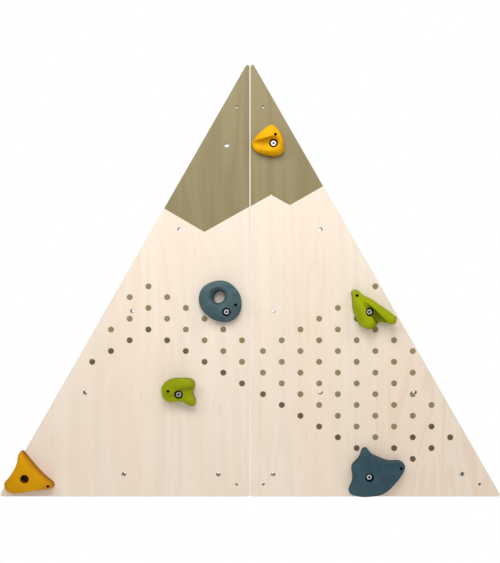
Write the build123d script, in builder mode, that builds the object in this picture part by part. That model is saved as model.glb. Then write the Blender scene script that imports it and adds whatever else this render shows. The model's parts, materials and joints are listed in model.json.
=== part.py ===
from build123d import *
import os

# A children's climbing board that is screwed to a wall. Two mirrored plywood panels stand side
# by side and make a mountain. Moulded holds are bolted to threaded inserts in the panels.
# Millimetres. X runs to the right, Z up, and the front faces -Y. The back of the panels is the
# plane Y = 0, and the origin is the bottom of the seam between them.

# The outline of the whole board, with its corners still sharp
board_width = 1200.0
board_height = 1047.0
panel_thickness = 18.0
panel_gap = 2.0
corner_radius = 5.0
edge_round = 2.0

# The lattice of threaded inserts in each panel, alternate rows half a pitch over. The single
# insert at the top is set a little higher than its row.
insert_rows = 5
insert_columns = 3
first_row = 53.5
top_row_lift = 8.0
seam_margin = 55.5
slope_margin = 63.0
left_bottom_shift = 20.0

# Holes for the screws that hold the board to the wall
fixing_hole = 7.0
fixing_from_seam = 32.0
fixing_from_bottom = 29.5
fixing_from_top = 116.0
fixing_from_corner = 52.0

# Pronged insert, M8, pressed in from the back with its flange flush
thread_diameter = 8.0
insert_bore = 8.1
barrel_diameter = 10.8
barrel_length = 11.5
flange_diameter = 22.0
flange_thickness = 1.5
notch_depth = 2.2
notch_width = 5.0
prong_count = 4
prong_thickness = 1.5
prong_width = 4.0
prong_length = 8.0
prong_taper = 5.0
insert_clearance = 0.1
hole_chamfer = 0.6

# Socket head cap bolt and washer under each hold
hold_base = 12.0
hold_bore = 9.0
seat_diameter = 20.0
washer_diameter = 16.0
washer_bore = 8.4
washer_thickness = 1.6
bolt_head_diameter = 13.0
bolt_head_height = 8.0
socket_across_flats = 6.0
socket_depth = 4.0
bolt_tip_clearance = 1.6
bolt_chamfer = 0.8

# Every hold fits in a circle of this radius round its bolt
widest_hold = 120.0

# Small wood screw that stops a hold from turning
spin_seat = 6.0
spin_well = 7.0
spin_bore = 4.4
spin_head_diameter = 6.2
spin_head_height = 2.2
spin_diameter = 4.0
spin_grip = 13.0
spin_clearance = 0.1
spin_tip = 3.0
recess_length = 3.6
recess_width = 0.9
recess_depth = 1.3

half_width = board_width / 2
bolt_length = hold_base + washer_thickness + panel_thickness - bolt_tip_clearance
os.makedirs("parts", exist_ok=True)


def slope_x(z):
    """Distance from the seam to the sloping edge at height z."""
    return half_width * (1 - z / board_height)


def insert_places(side):
    """Insert centres of one panel by (row, column), from the seam outwards."""
    reach = slope_x(first_row) - slope_margin
    pitch = (reach - seam_margin) / (insert_columns - 1)
    top_insert = board_height * (1 - (seam_margin + slope_margin) / half_width)
    row_pitch = (top_insert - top_row_lift - first_row) / (insert_rows - 1)
    places = {}
    for row in range(insert_rows):
        first = seam_margin + (row % 2) * pitch / 2
        count = insert_columns - (row + 1) // 2
        shift = left_bottom_shift if side < 0 and row == 0 else 0.0
        height = top_insert if row == insert_rows - 1 else first_row + row * row_pitch
        for column in range(count):
            x = side * (first + column * pitch + shift)
            places[row, column] = (x, height)
    return places


def fixing_places(side):
    """Centres of the three wall screws' holes of one panel."""
    return [
        (side * fixing_from_seam, fixing_from_bottom),
        (side * (half_width - fixing_from_corner), fixing_from_bottom),
        (side * fixing_from_seam, board_height - fixing_from_top),
    ]


def face_plane(place, out=0.0):
    """A plane that looks out of the panel's front face, centred on a place in it."""
    return Plane(
        origin=(place[0], -panel_thickness - out, place[1]),
        x_dir=(1, 0, 0),
        z_dir=(0, -1, 0),
    )


def back_plane(place):
    """A plane on the panels' back that looks into the wood."""
    return Plane(origin=(place[0], 0, place[1]), x_dir=(1, 0, 0), z_dir=(0, -1, 0))


def save(builder, label):
    builder.part.label = label
    export_step(builder.part, f"parts/{label}.step")


# --- plywood panels ---------------------------------------------------------------------------


def make_panel(label, side, spin_places):
    """One triangular panel: rounded edges, insert holes, wall holes and spin screw pilots."""
    seam = side * panel_gap / 2
    inserts = list(insert_places(side).values())
    with BuildPart() as panel:
        with BuildSketch(Plane.XZ):
            with BuildLine():
                Polyline(
                    (seam, 0),
                    (side * half_width, 0),
                    (seam, board_height * (1 - panel_gap / board_width)),
                    close=True,
                )
            make_face()
            fillet(vertices(), radius=corner_radius)
        extrude(amount=panel_thickness)
        faces_across = panel.faces().filter_by(Axis.Y)
        fillet(faces_across.edges(), radius=edge_round)
        with BuildSketch(Plane.XZ):
            with Locations(*inserts):
                Circle(barrel_diameter / 2 + insert_clearance)
            with Locations(*fixing_places(side)):
                Circle(fixing_hole / 2)
        extrude(amount=panel_thickness, mode=Mode.SUBTRACT)
        with BuildSketch(Plane.XZ):
            with Locations(*inserts):
                Circle(flange_diameter / 2 + insert_clearance)
        extrude(amount=flange_thickness, mode=Mode.SUBTRACT)
        with BuildSketch(Plane.XZ):
            with Locations(*inserts):
                with PolarLocations(prong_radius(), prong_count, start_angle=45):
                    Rectangle(
                        prong_thickness + 2 * insert_clearance,
                        prong_width + 2 * insert_clearance,
                    )
        extrude(
            amount=flange_thickness + prong_length + insert_clearance, mode=Mode.SUBTRACT
        )
        with BuildSketch(Plane.XZ.offset(panel_thickness)):
            with Locations(*spin_places):
                Circle(spin_diameter / 2 + spin_clearance)
        extrude(amount=-spin_grip - spin_clearance, mode=Mode.SUBTRACT)
        mouths = (
            panel.faces()
            .sort_by(Axis.Y)[0]
            .inner_wires()
            .edges()
            .filter_by(lambda e: abs(e.radius - barrel_diameter / 2) < 2 * insert_clearance)
        )
        chamfer(mouths, length=hole_chamfer)
    save(panel, label)


# --- threaded inserts --------------------------------------------------------------------------


def prong_radius():
    """Distance from the insert's axis to the middle of a prong's thickness."""
    return flange_diameter / 2 - notch_depth - prong_thickness / 2


def make_insert(label, place):
    """Flange with punched notches, four prongs and a threaded barrel, in one piece."""
    back = back_plane(place)
    with BuildPart() as insert:
        with BuildSketch(back):
            Circle(flange_diameter / 2)
            with PolarLocations(flange_diameter / 2, prong_count, start_angle=45):
                Rectangle(2 * notch_depth, notch_width, mode=Mode.SUBTRACT)
        extrude(amount=flange_thickness)
        with BuildSketch(back):
            Circle(barrel_diameter / 2)
        extrude(amount=barrel_length)
        with BuildSketch(back.offset(flange_thickness)):
            with PolarLocations(prong_radius(), prong_count, start_angle=45):
                Rectangle(prong_thickness, prong_width)
        extrude(amount=prong_length, taper=prong_taper)
        with BuildSketch(back):
            Circle(insert_bore / 2)
        extrude(amount=barrel_length, mode=Mode.SUBTRACT)
    save(insert, label)


# --- fasteners of a hold -----------------------------------------------------------------------


def make_bolt(label, place):
    """Cap bolt from its seat on the washer into the insert."""
    seat = face_plane(place, hold_base + washer_thickness)
    with BuildPart() as bolt:
        with BuildSketch(seat):
            Circle(bolt_head_diameter / 2)
        extrude(amount=bolt_head_height)
        chamfer(bolt.edges().sort_by(Axis.Y)[0], length=bolt_chamfer)
        with BuildSketch(seat):
            Circle(thread_diameter / 2)
        extrude(amount=-bolt_length)
        chamfer(bolt.edges().sort_by(Axis.Y)[-1], length=bolt_chamfer)
        with BuildSketch(seat.offset(bolt_head_height)):
            RegularPolygon(socket_across_flats / 2, 6, major_radius=False)
        extrude(amount=-socket_depth, mode=Mode.SUBTRACT)
    save(bolt, label)


def make_washer(label, place):
    with BuildPart() as washer:
        with BuildSketch(face_plane(place, hold_base)):
            Circle(washer_diameter / 2)
            Circle(washer_bore / 2, mode=Mode.SUBTRACT)
        extrude(amount=washer_thickness)
    save(washer, label)


def make_spin_screw(label, place):
    """Pan head, cross recess, plain shank and a pointed end in the panel."""
    seat = face_plane(place, spin_seat)
    with BuildPart() as screw:
        with BuildSketch(seat):
            Circle(spin_head_diameter / 2)
        extrude(amount=spin_head_height)
        chamfer(screw.edges().sort_by(Axis.Y)[0], length=spin_head_height / 4)
        with BuildSketch(seat):
            Circle(spin_diameter / 2)
        extrude(amount=-spin_seat - spin_grip)
        chamfer(
            screw.edges().sort_by(Axis.Y)[-1],
            length=spin_tip,
            length2=spin_diameter / 2 - spin_clearance,
        )
        with BuildSketch(seat.offset(spin_head_height)):
            Rectangle(recess_length, recess_width)
            Rectangle(recess_width, recess_length)
        extrude(amount=-recess_depth, mode=Mode.SUBTRACT)
    save(screw, label)


# --- moulded holds -----------------------------------------------------------------------------
# Each outline is a closed smooth curve round the bolt's axis, (right, up).


def limb(plane, start, end, start_radius, end_radius):
    """A tapered bar with round ends, between two (right, up, out) points of a hold."""
    begin = plane.from_local_coords(Vector(*start))
    stop = plane.from_local_coords(Vector(*end))
    across = Plane(origin=begin, z_dir=stop - begin)
    with BuildPart() as bar:
        with BuildSketch(across):
            Circle(start_radius)
        with BuildSketch(across.offset((stop - begin).length)):
            Circle(end_radius)
        loft()
        with Locations(begin):
            Sphere(start_radius)
        with Locations(stop):
            Sphere(end_radius)
    return bar.part


def dome(plane, centre, top, radius):
    """A ball whose highest point stands top above the panel, over a (right, up) centre."""
    with BuildPart(plane) as ball:
        with Locations((centre[0], centre[1], top - radius)):
            Sphere(radius)
    return ball.part


def finish_hold(label, place, outline, height, crown, hollows, spin, rim_round=0.0):
    """A block of the outline's shape, cut to its crown, hollowed, and bored for its fasteners."""
    plane = face_plane(place)
    with BuildPart() as hold:
        with BuildSketch(plane):
            with BuildLine():
                Spline(*outline, periodic=True)
            make_face()
        extrude(amount=height)
        add(crown, mode=Mode.INTERSECT)
        if rim_round:
            rim = hold.edges().filter_by(lambda e: e.length > widest_hold)
            fillet(rim.sort_by(Axis.Y)[0], radius=rim_round)
        if hollows:
            add(hollows, mode=Mode.SUBTRACT)
        with BuildSketch(plane.offset(hold_base)):
            Circle(seat_diameter / 2)
        extrude(amount=height, mode=Mode.SUBTRACT)
        with BuildSketch(plane):
            Circle(hold_bore / 2)
        extrude(amount=hold_base, mode=Mode.SUBTRACT)
        with BuildSketch(plane.offset(spin_seat)):
            with Locations(spin):
                Circle(spin_well / 2)
        extrude(amount=height, mode=Mode.SUBTRACT)
        with BuildSketch(plane):
            with Locations(spin):
                Circle(spin_bore / 2)
        extrude(amount=spin_seat, mode=Mode.SUBTRACT)
    save(hold, label)


def make_peak_hold(label, place, spin):
    """Rounded three-sided peak with a finger scoop that opens from its left tip to the bolt."""
    height = 36.0
    rim_round = 8.0
    outline = [
        (1.3, 41.5),
        (16.9, 22.7),
        (24, 1),
        (23.7, -18.5),
        (12.2, -26.5),
        (-5.7, -27.5),
        (-28, -23),
        (-45.4, -14),
        (-52, -0.4),
        (-42.8, 15.8),
        (-17.3, 37.3),
        (-5, 43.4),
    ]
    plane = face_plane(place)
    crown = dome(plane, (-6, 13), height, 55.0)
    scoop = limb(plane, (-50, -2, 18), (2, -1, 38), 6.0, 16.0)
    finish_hold(label, place, outline, height, crown, scoop, spin, rim_round)


def make_ring_hold(label, place, spin):
    """Fat ring with a tilted oval finger hole whose mouth widens to the upper left."""
    height = 34.0
    hole_centre = (-17.0, 34.0)
    hole_radii = (16.0, 12.3)
    hole_tilt = 45.0
    mouth_centre = (-20.5, 38.0)
    mouth_radius = 29.0
    rim_round = 8.0
    outline = [
        (-13, 73.5),
        (-39.3, 68.6),
        (-59, 54),
        (-66, 34),
        (-62, 11),
        (-51.3, -4.2),
        (-31.8, -18.7),
        (-13.3, -24.6),
        (3.6, -25),
        (22, -16),
        (33.3, 2),
        (35.7, 19),
        (32.2, 37.7),
        (22, 54.2),
        (6, 68),
    ]
    plane = face_plane(place)
    crown = dome(plane, (-13, 27), height, 85.0)
    with BuildPart(plane) as hollow:
        with BuildSketch(plane):
            with Locations(Location((*hole_centre, 0), (0, 0, hole_tilt))):
                Ellipse(*hole_radii)
        extrude(amount=height)
        with Locations((*mouth_centre, hold_base)):
            Cone(
                hole_radii[1] / 2,
                mouth_radius,
                height - hold_base,
                align=(Align.CENTER, Align.CENTER, Align.MIN),
            )
    finish_hold(label, place, outline, height, crown, hollow.part, spin, rim_round)


def make_fork_hold(label, place, spin):
    """Two fat arms that spread from the upper left, with a valley between them."""
    height = 42.0
    valley = 23.5
    outline = [
        (-39.4, 40.8),
        (-37, 49.7),
        (-31, 52.5),
        (-19.5, 44.4),
        (2, 32.2),
        (25.7, 15.5),
        (49, -0.5),
        (60, -12.5),
        (61.5, -20.5),
        (57, -26.5),
        (45.5, -27.4),
        (31.7, -24.5),
        (21.7, -27.2),
        (13.4, -35.4),
        (-1, -40.4),
        (-13.4, -37.3),
        (-25, -24.4),
        (-32.2, -7.4),
        (-37, 12),
    ]
    plane = face_plane(place)
    with BuildPart() as crown:
        with BuildSketch(plane):
            Circle(widest_hold)
        extrude(amount=valley)
        add(limb(plane, (-32, 42, 10), (54, -18, 26), 14.0, 14.0))
        add(limb(plane, (-32, 42, 10), (-2, -25, 24), 14.0, 17.0))
    groove = limb(plane, (-19, 28, 33), (27, -24, 25), 4.0, 11.0)
    finish_hold(label, place, outline, height, crown.part, groove, spin)


def make_mitten_hold(label, place, spin):
    """A round head on the left, a broad upper lobe and a slimmer tail below it."""
    height = 32.0
    valley = 23.5
    outline = [
        (-41, 5.7),
        (-38, 21),
        (-27.5, 30.3),
        (-13.7, 35),
        (5, 36),
        (24.5, 35),
        (33.5, 31),
        (37.5, 24),
        (36, 14.5),
        (32.2, 5),
        (34, -5),
        (39.3, -15.3),
        (39.5, -23),
        (33, -27.2),
        (23, -25.5),
        (12, -19.4),
        (-3.3, -16),
        (-19.3, -18.6),
        (-34, -11.7),
    ]
    plane = face_plane(place)
    with BuildPart() as crown:
        with BuildSketch(plane):
            Circle(widest_hold)
        extrude(amount=valley)
        add(dome(plane, (-18, 10), 30.0, 24.0))
        add(limb(plane, (-16, 18, 14), (30, 26, 17), 15.0, 14.0))
        add(limb(plane, (4, -4, 12), (36, -18, 15), 13.0, 11.5))
    finish_hold(label, place, outline, height, crown.part, None, spin)


def make_corner_hold(label, place, spin):
    """Three-cornered block with hollow sides for the board's lower corner."""
    height = 38.0
    rim_round = 3.5
    outline = [
        (-11.5, 55.5),
        (-17, 58.5),
        (-21, 52),
        (-20.8, 38),
        (-29, 16.3),
        (-43, -2.7),
        (-52.5, -14.5),
        (-51, -28),
        (-41, -36),
        (-26.3, -37.5),
        (4.8, -32),
        (37.8, -30.5),
        (53, -31),
        (59.8, -26.5),
        (58.5, -19),
        (51.4, -12),
        (35, 2),
        (18.7, 19),
        (1.8, 39),
    ]
    crown = dome(face_plane(place), (0, 5), height, 130.0)
    finish_hold(label, place, outline, height, crown, None, spin, rim_round)


def make_plate_hold(label, place, spin):
    """Low broad plate with three points and hollow sides."""
    height = 28.0
    rim_round = 5.0
    outline = [
        (-7.3, 65.3),
        (-12.8, 62.5),
        (-18.4, 48),
        (-30.7, 32.3),
        (-38.2, 23),
        (-38, 4.7),
        (-37, -10),
        (-42.3, -25.7),
        (-46, -38),
        (-32.3, -46),
        (1, -47.2),
        (32.4, -40.6),
        (60.4, -17.5),
        (83, 12.5),
        (85.5, 26.5),
        (76.9, 33.1),
        (55, 33.8),
        (24.8, 42.6),
        (2, 57.5),
    ]
    crown = dome(face_plane(place), (18, 0), height, 320.0)
    finish_hold(label, place, outline, height, crown, None, spin, rim_round)


# --- where each hold goes: (name, maker, side, (row, column), spin screw from the bolt) -----------

holds = [
    ("peak", make_peak_hold, 1, (4, 0), (4.0, 18.5)),
    ("ring", make_ring_hold, -1, (2, 0), (21.5, 16.5)),
    ("fork", make_fork_hold, 1, (2, 1), (-29.0, 38.5)),
    ("mitten", make_mitten_hold, -1, (1, 0), (-24.0, 8.5)),
    ("corner", make_corner_hold, -1, (0, 2), (50.5, -21.5)),
    ("plate", make_plate_hold, 1, (0, 1), (75.5, 20.0)),
]

spin_holes = {-1: [], 1: []}
used = set()
for name, make_hold, side, slot, spin in holds:
    place = insert_places(side)[slot]
    spin_place = (place[0] + spin[0], place[1] + spin[1])
    spin_holes[side].append(spin_place)
    used.add((side, slot))
    make_hold(f"{name}_hold", place, spin)
    make_bolt(f"{name}_hold_bolt", place)
    make_washer(f"{name}_hold_washer", place)
    make_spin_screw(f"{name}_hold_spin_screw", spin_place)
    make_insert(f"{name}_hold_insert", place)

for panel_name, side in (("left", -1), ("right", 1)):
    make_panel(f"{panel_name}_panel", side, spin_holes[side])
    for slot, place in insert_places(side).items():
        if (side, slot) not in used:
            make_insert(f"{panel_name}_free_insert_row{slot[0] + 1}_{slot[1] + 1}", place)
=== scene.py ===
import json
import math

import bmesh
import bpy
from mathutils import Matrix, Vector

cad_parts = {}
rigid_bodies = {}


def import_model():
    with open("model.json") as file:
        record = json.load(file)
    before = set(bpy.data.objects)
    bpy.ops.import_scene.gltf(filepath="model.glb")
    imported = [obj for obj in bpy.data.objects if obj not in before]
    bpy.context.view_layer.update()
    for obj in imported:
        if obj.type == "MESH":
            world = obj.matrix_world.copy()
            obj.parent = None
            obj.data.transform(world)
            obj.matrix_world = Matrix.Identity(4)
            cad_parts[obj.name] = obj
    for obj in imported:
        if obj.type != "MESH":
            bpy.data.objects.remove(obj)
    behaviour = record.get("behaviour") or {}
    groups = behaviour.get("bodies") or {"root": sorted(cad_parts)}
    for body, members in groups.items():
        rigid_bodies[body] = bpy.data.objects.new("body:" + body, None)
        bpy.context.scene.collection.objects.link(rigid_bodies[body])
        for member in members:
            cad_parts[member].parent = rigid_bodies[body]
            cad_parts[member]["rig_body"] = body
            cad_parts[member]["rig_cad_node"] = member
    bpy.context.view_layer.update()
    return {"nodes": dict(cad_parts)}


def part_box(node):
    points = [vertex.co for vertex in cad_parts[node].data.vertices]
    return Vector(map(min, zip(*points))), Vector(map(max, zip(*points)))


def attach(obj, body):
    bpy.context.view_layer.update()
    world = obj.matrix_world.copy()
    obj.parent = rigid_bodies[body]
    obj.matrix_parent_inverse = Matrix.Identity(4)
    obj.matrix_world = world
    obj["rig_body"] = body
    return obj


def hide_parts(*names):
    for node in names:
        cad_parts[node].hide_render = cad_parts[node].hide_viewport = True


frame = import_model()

# --- The studio -----------------------------------------------------------------------------------
# The board is lit as for a catalogue: softboxes to the left, to the right and above the front, a
# bounce card behind the camera and an even white room. The camera stands straight in front of it.

face_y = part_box("left_panel")[0].y
seam_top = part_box("left_panel")[1].z

frame_height = 1.3442
frame_middle = 0.5138
camera_height = 0.56
camera_distance = 1.6
bpy.ops.object.camera_add(
    location=(0.0, face_y - camera_distance, camera_height),
    rotation=(math.radians(90), 0.0, 0.0),
)
camera = bpy.context.active_object
camera.data.sensor_width = 36.0
camera.data.lens = camera.data.sensor_width * camera_distance / frame_height
camera.data.shift_y = (frame_middle - camera_height) / frame_height
bpy.context.scene.camera = camera
bpy.context.scene.view_settings.view_transform = "Standard"


def soft_light(name, place, aim, size, power, tint=(1.0, 1.0, 1.0)):
    """A square area light that looks from its place to a point."""
    bpy.ops.object.light_add(type="AREA", location=place)
    light = bpy.context.active_object
    light.name = name
    light.rotation_euler = (Vector(aim) - Vector(place)).to_track_quat("-Z", "Y").to_euler()
    light.data.size = size
    light.data.energy = power
    light.data.color = tint


soft_light("left_softbox", (-1.4, -1.05, 1.5), (0.0, 0.0, 0.7), 0.8, 9.0)
soft_light("right_softbox", (1.4, -1.05, 1.5), (0.0, 0.0, 0.7), 0.8, 7.0)
soft_light("front_softbox", (-0.1, -1.3, 1.75), (0.0, 0.0, 0.9), 1.0, 19.0, (0.97, 1.0, 1.05))
soft_light("bounce_card", (0.0, -2.6, 0.9), (0.0, 0.0, 0.9), 1.4, 7.5)
soft_light("back_softbox", (0.6, 2.2, 1.8), (0.0, 0.0, 0.5), 1.6, 40.0)

room_light = 0.22
room = bpy.data.worlds.new("white_room")
room.use_nodes = True
bpy.context.scene.world = room
sky = room.node_tree.nodes["Background"]
sky.inputs["Color"].default_value = (1.0, 1.0, 1.0, 1.0)
seen = room.node_tree.nodes.new("ShaderNodeLightPath")
strength = room.node_tree.nodes.new("ShaderNodeMapRange")
strength.inputs["To Min"].default_value = room_light
strength.inputs["To Max"].default_value = 1.0
room.node_tree.links.new(seen.outputs["Is Camera Ray"], strength.inputs["Value"])
room.node_tree.links.new(strength.outputs["Result"], sky.inputs["Strength"])

# --- Plywood --------------------------------------------------------------------------------------
# Two 18 mm panels of pale birch plywood, eleven plies. The veneers' grain runs up the board, and
# the plies between lie across it, so they show as darker stripes all round the milled edges.


class Value:
    """A socket in a material: sums on it add Math nodes, and node() adds any other node."""

    def __init__(self, tree, socket=None):
        self.tree = tree
        self.socket = socket

    def node(self, kind, settings=None, inputs=None, output=0):
        made = self.tree.nodes.new("ShaderNode" + kind)
        for key, setting in (settings or {}).items():
            setattr(made, key, setting)
        for key, value in (inputs or {}).items():
            if isinstance(value, Value):
                self.tree.links.new(value.socket, made.inputs[key])
            else:
                made.inputs[key].default_value = value
        return Value(self.tree, made.outputs[output] if made.outputs else None)

    def maths(self, operation, *values):
        return self.node("Math", {"operation": operation}, dict(enumerate(values)))

    def __add__(self, other):
        return self.maths("ADD", self, other)

    def __sub__(self, other):
        return self.maths("SUBTRACT", self, other)

    def __rsub__(self, other):
        return self.maths("SUBTRACT", other, self)

    def __mul__(self, other):
        return self.maths("MULTIPLY", self, other)

    __radd__ = __add__
    __rmul__ = __mul__

    def smooth(self, low, high):
        """0 below low, 1 above high, and a soft step between."""
        return self.node(
            "MapRange",
            {"interpolation_type": "SMOOTHSTEP"},
            {"Value": self, "From Min": low, "From Max": high},
        )

    def mix(self, start, end):
        """A colour or vector from start to end as this value goes from 0 to 1."""
        return self.node("Mix", {"data_type": "RGBA"}, {0: self, 6: start, 7: end}, 2)

    def scaled(self, x, y, z):
        """These coordinates stretched along each axis."""
        return self.node("VectorMath", {"operation": "MULTIPLY"}, {0: self, 1: (x, y, z)})

    def shelter(self, reach):
        """0 on open faces, 1 deep in a hollow; the script uses it to paint shade into colours."""
        settings = {"samples": 8, "only_local": True}
        return 1.0 - self.node("AmbientOcclusion", settings, {"Distance": reach}, 1)

    def noise(self, scale=1.0, detail=3.0, rough=0.5, bend=0.0):
        inputs = {"Vector": self, "Scale": scale, "Detail": detail, "Roughness": rough}
        inputs["Distortion"] = bend
        return self.node("TexNoise", None, inputs)


def new_finish(name):
    """An empty node material: returns it, its object coordinates and the output's Value."""
    material = bpy.data.materials.new(name)
    material.use_nodes = True
    material.node_tree.nodes.clear()
    start = Value(material.node_tree)
    return material, start.node("TexCoord", None, None, "Object")


def close_finish(place, inputs, height=None, depth=0.0):
    """Adds the surface shader, with a bump of that height where one is given."""
    if height is not None:
        bump = {"Height": height, "Distance": depth, "Strength": 1.0}
        inputs["Normal"] = place.node("Bump", None, bump)
    shader = place.node("BsdfPrincipled", None, inputs)
    place.node("OutputMaterial", None, {"Surface": shader})


def colour(red, green, blue):
    """Screen colour from 0 to 255, made linear for a shader."""
    def line(part):
        part /= 255
        return part / 12.92 if part < 0.04045 else ((part + 0.055) / 1.055) ** 2.4
    return (line(red), line(green), line(blue), 1.0)


plies = 11
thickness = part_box("left_panel")[1].y - face_y
bore_reach = 0.006


def wood_grain(place):
    """Fibres, broad figure and pith flecks of a veneer whose grain runs up the board."""
    fibre = place.scaled(420.0, 420.0, 7.0).noise(1.0, 4.0, 0.6)
    stripe = place.scaled(46.0, 46.0, 1.1).noise(1.0, 3.0, 0.5, 0.4)
    figure = place.scaled(5.5, 5.5, 0.9).noise(1.0, 2.0, 0.5, 0.8)
    rings = place.maths("SINE", figure * 60.0) * 0.5 + 0.5
    flecks = place.scaled(300.0, 300.0, 26.0).noise(1.0, 1.0, 0.4).smooth(0.7, 0.78)
    return fibre, stripe, rings, flecks


plywood, place = new_finish("pale_birch_plywood")
fibre, stripe, rings, flecks = wood_grain(place)
depth_in = place.node("SeparateXYZ", None, {0: place}, 1) * (-1.0 / thickness)
layer = depth_in * (plies - 0.001)
ply = place.maths("FLOOR", layer)
cross = place.maths("MODULO", ply, 2.0)
outside = 1.0 - place.maths("PINGPONG", depth_in, 0.5).smooth(0.02, 0.03)
glue = place.maths("MAXIMUM", place.maths("PINGPONG", layer - ply, 0.5).smooth(0.0, 0.12), outside)
tone = stripe * 0.55 + rings * 0.2 + fibre * 0.25
veneer = tone.smooth(0.2, 0.8).mix(colour(243, 225, 204), colour(250, 235, 216))
warmth = place.scaled(9.0, 9.0, 1.6).noise(1.0, 2.0, 0.5, 0.6).smooth(0.4, 0.7)
veneer = (warmth * 0.45).mix(veneer, colour(249, 225, 199))
arches = rings.smooth(0.55, 1.0) * place.scaled(3.2, 3.2, 1.3).noise(1.0, 1.0, 0.5).smooth(0.45, 0.62)
veneer = (arches * 0.4).mix(veneer, colour(236, 208, 178))
veneer = (flecks * 0.25).mix(veneer, colour(205, 180, 150))
end_fibre = place.scaled(9.0, 500.0, 500.0).noise(1.0, 4.0, 0.6)
across = end_fibre.smooth(0.3, 0.7).mix(colour(186, 152, 112), colour(214, 184, 146))
wood = cross.mix(veneer, across)
wood = glue.mix(colour(150, 112, 74), wood)
# Painted shade: the wood is darkened nearly to black deep inside its bores and holes.
wood = (place.shelter(bore_reach).smooth(0.3, 0.9) * 0.85).mix(wood, colour(36, 24, 16))
close_finish(
    place,
    {
        "Base Color": wood,
        "Roughness": 0.5 + fibre * 0.12,
        "Specular IOR Level": 0.35,
    },
    fibre * 0.7 + stripe * 0.3,
    0.00012,
)
for panel in ("left_panel", "right_panel"):
    frame["nodes"][panel].data.materials.clear()
    frame["nodes"][panel].data.materials.append(plywood)

# --- Olive mountain top ---------------------------------------------------------------------------
# The upper part of both panels is sprayed with a thin olive stain down to a zigzag. The grain shows
# through it, it runs a little way over the rounded edges, and the seam between them stays bare.

film = 0.00008
snow_line = {
    "left_panel": [(-0.2044, 0.688), (-0.109, 0.632), (0.0, 0.6935)],
    "right_panel": [(0.0, 0.6925), (0.050, 0.721), (0.095, 0.696), (0.174, 0.741)],
}


def choose(piece, test):
    """Selects the faces of a piece in edit mode that pass a test, and nothing else."""
    bpy.ops.mesh.select_mode(type="FACE")
    bpy.ops.mesh.select_all(action="DESELECT")
    mesh = bmesh.from_edit_mesh(piece.data)
    for face in mesh.faces:
        if test(face):
            face.select_set(True)
    bmesh.update_edit_mesh(piece.data)


def copy_of(node, name):
    """A separate piece that starts as a CAD node's mesh, with its loose triangles merged."""
    bpy.ops.object.select_all(action="DESELECT")
    frame["nodes"][node].select_set(True)
    bpy.context.view_layer.objects.active = frame["nodes"][node]
    bpy.ops.object.duplicate()
    piece = bpy.context.active_object
    piece.parent = None
    piece.name = name
    piece.data.name = name
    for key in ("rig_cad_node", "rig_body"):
        del piece[key]
    bpy.ops.object.mode_set(mode="EDIT")
    bpy.ops.mesh.select_all(action="SELECT")
    bpy.ops.mesh.remove_doubles(threshold=1e-6)
    bpy.ops.mesh.customdata_custom_splitnormals_clear()
    bpy.ops.object.mode_set(mode="OBJECT")
    return piece


def finish_piece(piece, material, angle=30):
    """Gives a piece its finish, its shading and its place on the board."""
    piece.data.materials.clear()
    piece.data.materials.append(material)
    bpy.ops.object.select_all(action="DESELECT")
    piece.select_set(True)
    bpy.context.view_layer.objects.active = piece
    bpy.ops.object.shade_smooth_by_angle(angle=math.radians(angle))
    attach(piece, "root")


def stain(name, light, dark):
    """A thin matt stain over the veneer, with the wood's fibres showing through."""
    material, place = new_finish(name)
    fibre, stripe, rings, flecks = wood_grain(place)
    tone = stripe * 0.5 + rings * 0.2 + fibre * 0.3
    base = tone.smooth(0.2, 0.8).mix(dark, light)
    base = (flecks * 0.35).mix(base, dark)
    shades = {"Base Color": base, "Roughness": 0.55 + fibre * 0.1, "Specular IOR Level": 0.3}
    close_finish(place, shades, fibre, 0.0001)
    return material


def line_height(points, x):
    """Height of a line of points at x, flat beyond its ends."""
    for (x0, z0), (x1, z1) in zip(points, points[1:]):
        if x0 <= x <= x1:
            return z0 + (z1 - z0) * (x - x0) / (x1 - x0)
    return points[0][1] if x < points[0][0] else points[-1][1]


olive_stain = stain("olive_stain", colour(154, 141, 103), colour(138, 124, 87))
for panel, points in snow_line.items():
    top = copy_of(panel, panel.replace("panel", "mountain_top"))
    bpy.ops.object.mode_set(mode="EDIT")
    choose(top, lambda f: f.normal.y > -0.6)
    bpy.ops.mesh.delete(type="FACE")
    for (x0, z0), (x1, z1) in zip(points, points[1:]):
        bpy.ops.mesh.select_all(action="SELECT")
        slope = Vector((x0 - x1, 0.0, z0 - z1)).cross(Vector((0.0, 1.0, 0.0)))
        bpy.ops.mesh.bisect(plane_co=(x0, face_y, z0), plane_no=slope)
    for x, z in points[1:-1]:
        bpy.ops.mesh.select_all(action="SELECT")
        bpy.ops.mesh.bisect(plane_co=(x, face_y, z), plane_no=(1.0, 0.0, 0.0))

    def below(face):
        centre = face.calc_center_median()
        return centre.z < line_height(points, centre.x)

    choose(top, below)
    bpy.ops.mesh.delete(type="FACE")
    bpy.ops.mesh.select_all(action="SELECT")
    bpy.ops.mesh.dissolve_limited(angle_limit=math.radians(1))
    bpy.ops.mesh.select_all(action="SELECT")
    bpy.ops.mesh.quads_convert_to_tris()
    bpy.ops.mesh.select_all(action="SELECT")
    bpy.ops.mesh.extrude_region_move(TRANSFORM_OT_translate={"value": (0.0, -film, 0.0)})
    bpy.ops.mesh.select_all(action="SELECT")
    bpy.ops.mesh.normals_make_consistent(inside=False)
    bpy.ops.object.mode_set(mode="OBJECT")
    finish_piece(top, olive_stain)

# --- Dots -----------------------------------------------------------------------------------------
# Round olive dots, 14 mm across, are printed on a lattice of equilateral triangles and fill the
# foot of the mountain's shadow. The lower rows are printed in dark brown.

dot_radius = 0.0071
dot_pitch = 0.0447
row_drop = 0.02574
top_row = 0.5279
first_left = -0.0191
first_right = 0.0310
half_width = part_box("right_panel")[1].x
slope_margin = 0.009
sharp_top = seam_top + 0.0155


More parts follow.
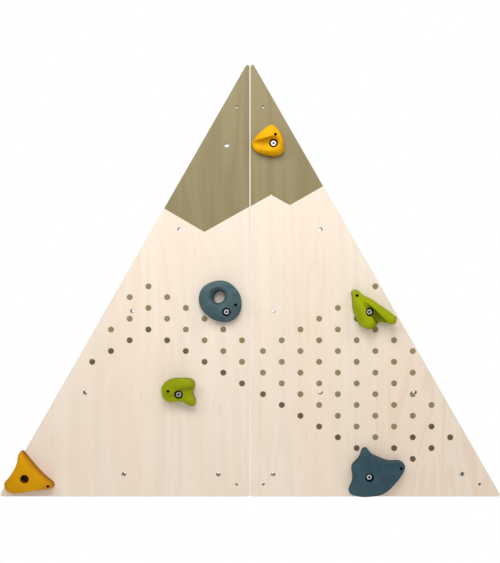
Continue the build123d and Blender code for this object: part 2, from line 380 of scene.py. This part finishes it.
def dot_rows(column):
    """(first row, first dark row) of a column of dots. Rows count down from the highest dot."""
    dark = 5 + abs(column + 5) if column <= 7 else 24 - column
    return 7 - abs(column - 1), dark


def dot_places(side, want_dark):
    """Centres of one panel's olive or dark dots, as far as its sloping edge."""
    places = []
    for column in range(-9, 12):
        if (column > 0) != (side > 0):
            continue
        if side > 0:
            x = first_right + dot_pitch * (column - 1)
        else:
            x = first_left + dot_pitch * column
        first, dark = dot_rows(column)
        last = dark + 2 if column >= 8 else dark
        for row in range(first, last + 1):
            if (row - column) % 2 or (row >= dark) != want_dark:
                continue
            height = top_row - row_drop * row
            edge = half_width * (1.0 - height / sharp_top)
            if abs(x) < edge - slope_margin:
                places.append((x, height))
    return places


def use_modifier(piece, kind, **settings):
    """Adds a modifier to the active piece and applies it."""
    bpy.ops.object.select_all(action="DESELECT")
    piece.select_set(True)
    bpy.context.view_layer.objects.active = piece
    bpy.ops.object.modifier_add(type=kind)
    modifier = piece.modifiers[-1]
    for key, setting in settings.items():
        setattr(modifier, key, setting)
    bpy.ops.object.modifier_apply(modifier=modifier.name)


def peg(centre, radius, bottom, top):
    """A round cutter that stands out of the panel's face, from one height above it to another."""
    bpy.ops.mesh.primitive_cylinder_add(
        vertices=96,
        radius=radius,
        depth=top - bottom,
        location=(centre.x, face_y - (top + bottom) / 2, centre.z),
        rotation=(math.radians(90), 0.0, 0.0),
    )
    return bpy.context.active_object


def middle(node):
    low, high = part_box(node)
    return (low + high) / 2


bore_radius = 0.0055
brown_stain = stain("brown_stain", colour(116, 99, 74), colour(98, 82, 58))
for side, side_name in ((-1, "left"), (1, "right")):
    for want_dark, shade, material in ((False, "olive", olive_stain), (True, "brown", brown_stain)):
        bpy.ops.object.select_all(action="DESELECT")
        bpy.ops.mesh.primitive_circle_add(vertices=32, radius=dot_radius, fill_type="NGON")
        dots = bpy.context.active_object
        dots.name = f"{side_name}_{shade}_dots"
        bpy.ops.object.mode_set(mode="EDIT")
        bpy.ops.mesh.delete(type="VERT")
        for x, z in dot_places(side, want_dark):
            bpy.ops.mesh.primitive_circle_add(
                vertices=32,
                radius=dot_radius,
                fill_type="NGON",
                location=(x, face_y, z),
                rotation=(math.radians(90), 0.0, 0.0),
            )
        bpy.ops.mesh.select_all(action="SELECT")
        bpy.ops.mesh.extrude_region_move(TRANSFORM_OT_translate={"value": (0.0, -film, 0.0)})
        bpy.ops.mesh.select_all(action="SELECT")
        bpy.ops.mesh.normals_make_consistent(inside=False)
        bpy.ops.object.mode_set(mode="OBJECT")
        if side > 0:
            hole = peg(middle("right_free_insert_row2_2"), bore_radius, -0.001, 0.001)
            use_modifier(dots, "BOOLEAN", operation="DIFFERENCE", object=hole, solver="EXACT")
            bpy.data.objects.remove(hole)
        finish_piece(dots, material)

# --- Moulded holds --------------------------------------------------------------------------------
# Polyester resin cast in soft moulds: rounded all over, with a fine sandy skin for grip. Each has a
# deep seat for its bolt and a small well for the screw that stops it from turning.

# Each hold's slot, and how often its faceted casting is smoothed
holds = {
    "peak_hold": ("yellow_resin", 18),
    "ring_hold": ("blue_resin", 30),
    "fork_hold": ("green_resin", 15),
    "mitten_hold": ("green_resin", 18),
    "corner_hold": ("yellow_resin", 30),
    "plate_hold": ("blue_resin", 30),
}


def resin(name, light, dark, deep, foot):
    """Cast resin with pigment clouds and a sandy skin, and painted shade in hollows and towards its
    foot.
    """
    material, place = new_finish(name)
    height = face_y - place.node("SeparateXYZ", None, {0: place}, 1)
    cloud = place.noise(38.0, 3.0, 0.5)
    grit = place.noise(1500.0, 2.0, 0.6)
    sand = place.noise(620.0, 2.0, 0.5)
    base = cloud.smooth(0.3, 0.7).mix(colour(*dark), colour(*light))
    base = (grit.smooth(0.62, 0.75) * 0.4).mix(base, base.scaled(1.3, 1.3, 1.3))
    # Painted shade: hollows, and the band next to the board, are darkened towards the deep colour.
    shade = place.shelter(0.035).smooth(0.03, 0.7) * 0.85
    shade = place.maths("MAXIMUM", shade, (1.0 - height.smooth(0.0, foot)) * 0.7)
    base = shade.mix(base, colour(*deep))
    shades = {
        "Base Color": base,
        "Roughness": 0.6 + grit * 0.16,
        "Specular IOR Level": 0.12,
    }
    close_finish(place, shades, grit * 0.5 + sand * 0.5, 0.00035)
    return material


# Each pair of holds shares one resin; the corner, plate and mitten holds get a darker copy of it,
# painted as shade.
resins = {
    "peak_hold": resin("sun_yellow_resin", (240, 177, 0), (232, 167, 0), (150, 78, 0), 0.016),
    "corner_hold": resin("shaded_yellow_resin", (225, 158, 0), (215, 150, 0), (110, 50, 4), 0.03),
    "ring_hold": resin("slate_resin", (85, 106, 109), (70, 92, 97), (14, 24, 28), 0.012),
    "plate_hold": resin("shaded_slate_resin", (62, 88, 96), (54, 78, 88), (14, 24, 28), 0.012),
    "fork_hold": resin("leaf_green_resin", (160, 170, 2), (148, 158, 2), (62, 68, 0), 0.014),
    "mitten_hold": resin("shaded_green_resin", (150, 158, 2), (140, 148, 2), (62, 68, 0), 0.014),
}


def soften(piece, passes, test):
    """Smooths only the vertices that pass a test."""
    group = piece.vertex_groups.new(name="soft")
    group.add([v.index for v in piece.data.vertices if test(v.co)], 1.0, "REPLACE")
    use_modifier(piece, "SMOOTH", factor=0.5, iterations=passes, vertex_group=group.name)
    piece.vertex_groups.clear()


seat_radius = 0.0101
seat_height = 0.012
shank_radius = 0.0045
well_radius = 0.0035
well_height = 0.006
pilot_radius = 0.0022
behind_hold = -0.02
above_hold = 0.09
shoulder = 0.012
base_allowance = 0.010
wall_size = 0.3
coarse = 0.0012
fine = 0.00095

for node, (slot, passes) in holds.items():
    hold = copy_of(node, node + "_casting")
    bolt = middle(node + "_bolt")
    screw = middle(node + "_spin_screw")
    bpy.ops.object.mode_set(mode="EDIT")

    def in_bore(face):
        def near(centre, radius, vert):
            return math.hypot(vert.co.x - centre.x, vert.co.z - centre.z) < radius
        return (all(near(bolt, seat_radius, v) for v in face.verts)
                or all(near(screw, well_radius + 1e-5, v) for v in face.verts))

    choose(hold, in_bore)
    bpy.ops.mesh.delete(type="FACE")
    bpy.ops.mesh.select_all(action="SELECT")
    bpy.ops.mesh.fill_holes(sides=0)
    choose(hold, lambda f: f.normal.y > 0.999 and f.calc_center_median().y > face_y - 1e-5)
    bpy.ops.mesh.extrude_region_move(TRANSFORM_OT_translate={"value": (0.0, base_allowance, 0.0)})
    bpy.ops.mesh.select_all(action="SELECT")
    bpy.ops.mesh.normals_make_consistent(inside=False)
    bpy.ops.object.mode_set(mode="OBJECT")
    use_modifier(hold, "REMESH", mode="VOXEL", voxel_size=coarse)
    use_modifier(hold, "SMOOTH", factor=0.5, iterations=passes)
    if node == "peak_hold":
        soften(hold, 320, lambda p: p.y < face_y - shoulder and p.z < bolt.z)
    if node == "corner_hold":
        across = Vector((0.77, 0.0, 0.64))
        soften(hold, 160, lambda p: p.y < face_y - shoulder and (p - bolt).dot(across) > 0.006)
    cutters = [
        peg(bolt, seat_radius, seat_height, above_hold),
        peg(bolt, shank_radius, behind_hold, above_hold),
        peg(screw, well_radius, well_height, above_hold),
        peg(screw, pilot_radius, behind_hold, above_hold),
    ]
    for cutter in cutters:
        use_modifier(hold, "BOOLEAN", operation="DIFFERENCE", object=cutter, solver="EXACT")
        bpy.data.objects.remove(cutter)
    use_modifier(hold, "REMESH", mode="VOXEL", voxel_size=fine)
    use_modifier(hold, "SMOOTH", factor=0.5, iterations=3)
    bpy.ops.mesh.primitive_cube_add(
        size=wall_size, location=(bolt.x, face_y + wall_size / 2, bolt.z)
    )
    wall = bpy.context.active_object
    use_modifier(hold, "BOOLEAN", operation="DIFFERENCE", object=wall, solver="EXACT")
    bpy.data.objects.remove(wall)
    finish_piece(hold, resins[node], 40)
    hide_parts(node)

# --- Fasteners ------------------------------------------------------------------------------------
# Bolts and pronged inserts are bright zinc plated steel, with painted shade in their hollows.
# Washers and spin screws are blackened, and on the washers the black also paints the shade round
# each bolt head. The bolt at the bottom of the corner hold's deep bore is painted dark and dull as
# shade.


def plated(name, light, deep, reach):
    """Zinc plate that is cloudy up close, with painted shade darkening hollows narrower than its
    reach.
    """
    material, place = new_finish(name)
    cloud = place.noise(260.0, 3.0, 0.6)
    bright = cloud.smooth(0.3, 0.7).mix(light, colour(244, 245, 247))
    shades = {
        "Base Color": place.shelter(reach).smooth(0.15, 0.6).mix(bright, deep),
        "Metallic": 1.0,
        "Roughness": 0.24 + cloud * 0.14,
    }
    close_finish(place, shades, place.noise(2400.0, 2.0, 0.5), 0.00003)
    return material


# Painted shade: the bolts' hex recesses are darkened, and the inserts' threaded bores nearly to
# black.
zinc = plated("zinc_plate", colour(214, 217, 221), colour(46, 45, 45), 0.005)
threaded_zinc = plated("threaded_zinc_plate", colour(222, 225, 229), colour(10, 9, 9), 0.014)

# Black phosphate on the spin screws; on the washers the black is also painted shade in the ring round
# each bolt head.
black_and_seat_shade, place = new_finish("black_phosphate_and_seat_shade")
speck = place.noise(2600.0, 2.0, 0.5)
close_finish(
    place,
    {
        "Base Color": speck.smooth(0.3, 0.8).mix(colour(20, 20, 21), colour(44, 43, 42)),
        "Metallic": 0.6,
        "Roughness": 0.45 + speck * 0.2,
    },
    speck,
    0.00003,
)

# Painted shade: the corner hold's bolt, deep in its bore, is coloured dark and dull instead of bright
# zinc.
deep_bore_shade, place = new_finish("deep_bore_shaded_zinc")
mottle = place.noise(700.0, 3.0, 0.6)
close_finish(
    place,
    {
        "Base Color": mottle.smooth(0.3, 0.7).mix(colour(62, 50, 36), colour(104, 92, 76)),
        "Metallic": 0.7,
        "Roughness": 0.45 + mottle * 0.25,
    },
    mottle,
    0.00005,
)

for name, node in frame["nodes"].items():
    if name.endswith("_bolt") or "insert" in name:
        node.data.materials.clear()
        node.data.materials.append(threaded_zinc if "insert" in name else zinc)
    if name.endswith(("_spin_screw", "_washer")):
        node.data.materials.clear()
        node.data.materials.append(black_and_seat_shade)
deepest = frame["nodes"]["corner_hold_bolt"].data.materials
deepest.clear()
deepest.append(deep_bore_shade)

# --- The floor ------------------------------------------------------------------------------------
# A pale round floor below the board, which hangs clear of it.

bpy.ops.mesh.primitive_cylinder_add(
    vertices=128, radius=1.3, depth=0.02, location=(0.0, -0.95, -0.36)
)
floor = bpy.context.active_object
floor.name = "studio_floor"
pale, place = new_finish("pale_floor")
mottle = place.noise(30.0, 4.0, 0.6)
floor_tone = mottle.mix(colour(246, 246, 245), colour(252, 252, 251))
close_finish(place, {"Base Color": floor_tone, "Roughness": 0.8})
floor.data.materials.append(pale)
